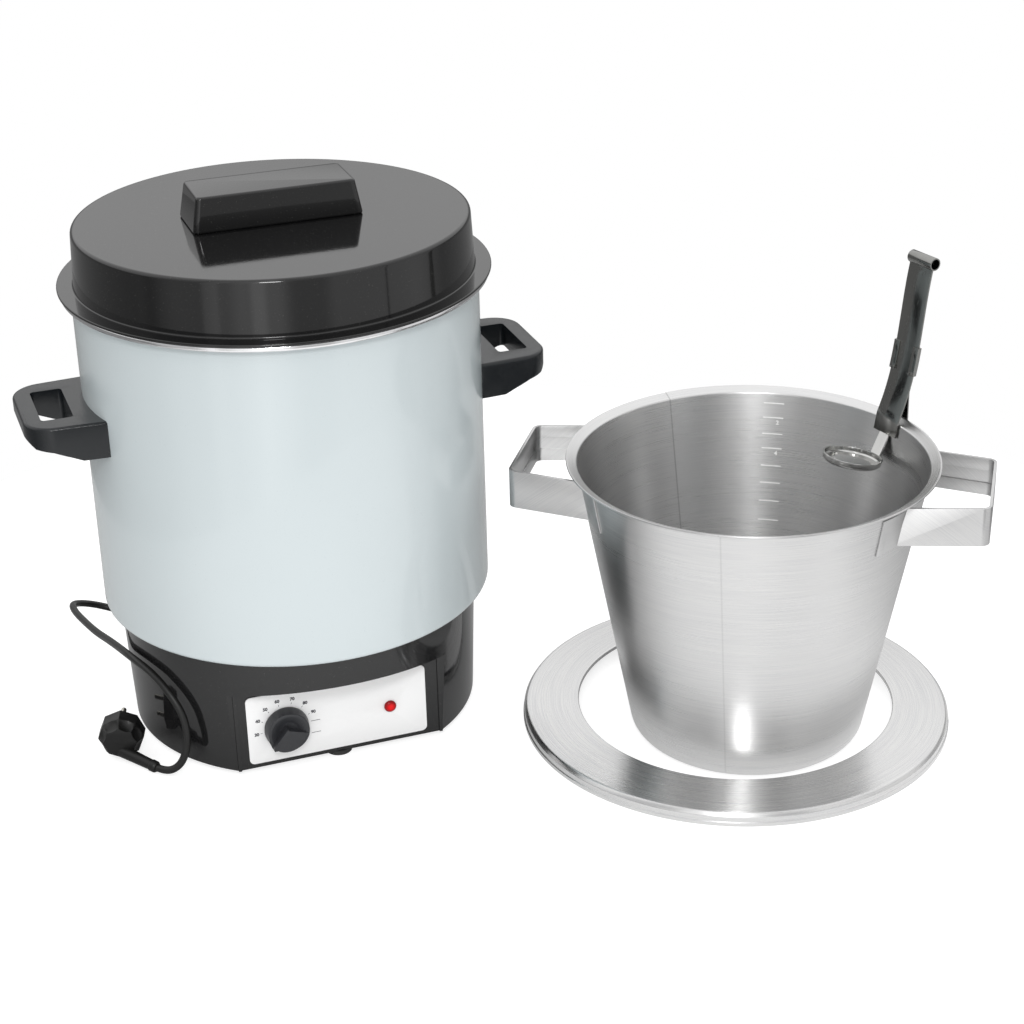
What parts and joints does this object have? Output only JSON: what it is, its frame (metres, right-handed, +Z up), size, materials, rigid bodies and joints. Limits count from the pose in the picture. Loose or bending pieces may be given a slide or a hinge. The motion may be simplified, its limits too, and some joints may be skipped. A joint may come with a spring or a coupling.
{
  "type": "wax melter",
  "caption": "Enamelled electric melting kettle with lid, dial and mains lead, with a conical steel vessel, an adapter ring and a clip-on strip ladle.",
  "frame": {"origin": "on the surface that the set stands on, under the middle of the set's outline without its lead", "axes": "+Z up, -Y towards the kettle's control panel, +X from the kettle towards the steel vessel"},
  "size_m": [0.8092, 0.6875, 0.5096],
  "materials": {
    "enamel": "glossy vitreous enamel",
    "trim": "polished",
    "lid_black": "gloss black",
    "grip_grey": "satin anthracite",
    "base_black": "gloss black",
    "cover_steel": "satin",
    "zinc": "zinc plated",
    "spreader": "cast",
    "foot_rubber": "matt",
    "fascia": "smooth",
    "knob_grey": "satin",
    "lamp_red": "translucent red",
    "inner_plastic": "plain",
    "stainless": "brushed",
    "cord_black": "matt",
    "pins": "nickel plated"
  },
  "bodies": {
    "kettle": {"enamel_tank": "enamel", "rim_trim": "trim", "side_handle_left": "grip_grey", "side_handle_right": "grip_grey", "side_screws": "zinc", "base_housing": "base_black", "bottom_cover": "cover_steel", "cover_screws": "zinc", "feet": "foot_rubber", "fascia": "fascia", "thermostat": "inner_plastic", "thermostat_nut": "zinc", "lamp_lens": "lamp_red", "lamp_body": "inner_plastic", "heat_spreader": "spreader", "heating_element": "zinc", "clamp_bar": "zinc", "tie_stud": "zinc", "stud_nuts": "zinc", "heat_shield": "zinc", "thermal_cutout": "zinc", "thermostat_bulb": "zinc", "terminal_block": "inner_plastic", "wiring": "cord_black", "cord_gland": "cord_black", "cord_tail": "cord_black", "cord_at_gland": "cord_black", "cord_coil": "cord_black", "cord_lead": "cord_black", "plug_body": "cord_black", "plug_pins": "pins"},
    "lid": {"lid_shell": "lid_black", "lid_handle": "lid_black", "lid_screws": "zinc"},
    "dial": {"knob": "knob_grey", "thermostat_shaft": "zinc"},
    "vessel": {"vessel_shell": "stainless", "vessel_handle_left": "stainless", "vessel_handle_right": "stainless"},
    "ring": {"adapter_ring": "stainless"},
    "ladle": {"ladle_strip": "stainless", "ladle_clip": "stainless", "ladle_dish": "stainless"}
  },
  "joints": [
    {"name": "lid_lift", "type": "slide", "parent": "kettle", "child": "lid", "axis": [0, 0, 1], "range_m": [0, 0.15]},
    {"name": "dial_turn", "type": "hinge", "parent": "kettle", "child": "dial", "pos_m": [-0.2165, -0.032, 0.0415], "axis": [0, 1, 0], "range_deg": [0, 235]},
    {"name": "vessel_lift", "type": "slide", "parent": "kettle", "child": "vessel", "axis": [0, 0, 1], "range_m": [0, 0.3]},
    {"name": "ring_lift", "type": "slide", "parent": "kettle", "child": "ring", "axis": [0, 0, 1], "range_m": [0, 0.07]},
    {"name": "ladle_lift", "type": "slide", "parent": "vessel", "child": "ladle", "axis": [0, 0, 1], "range_m": [0, 0.12]}
  ]
}
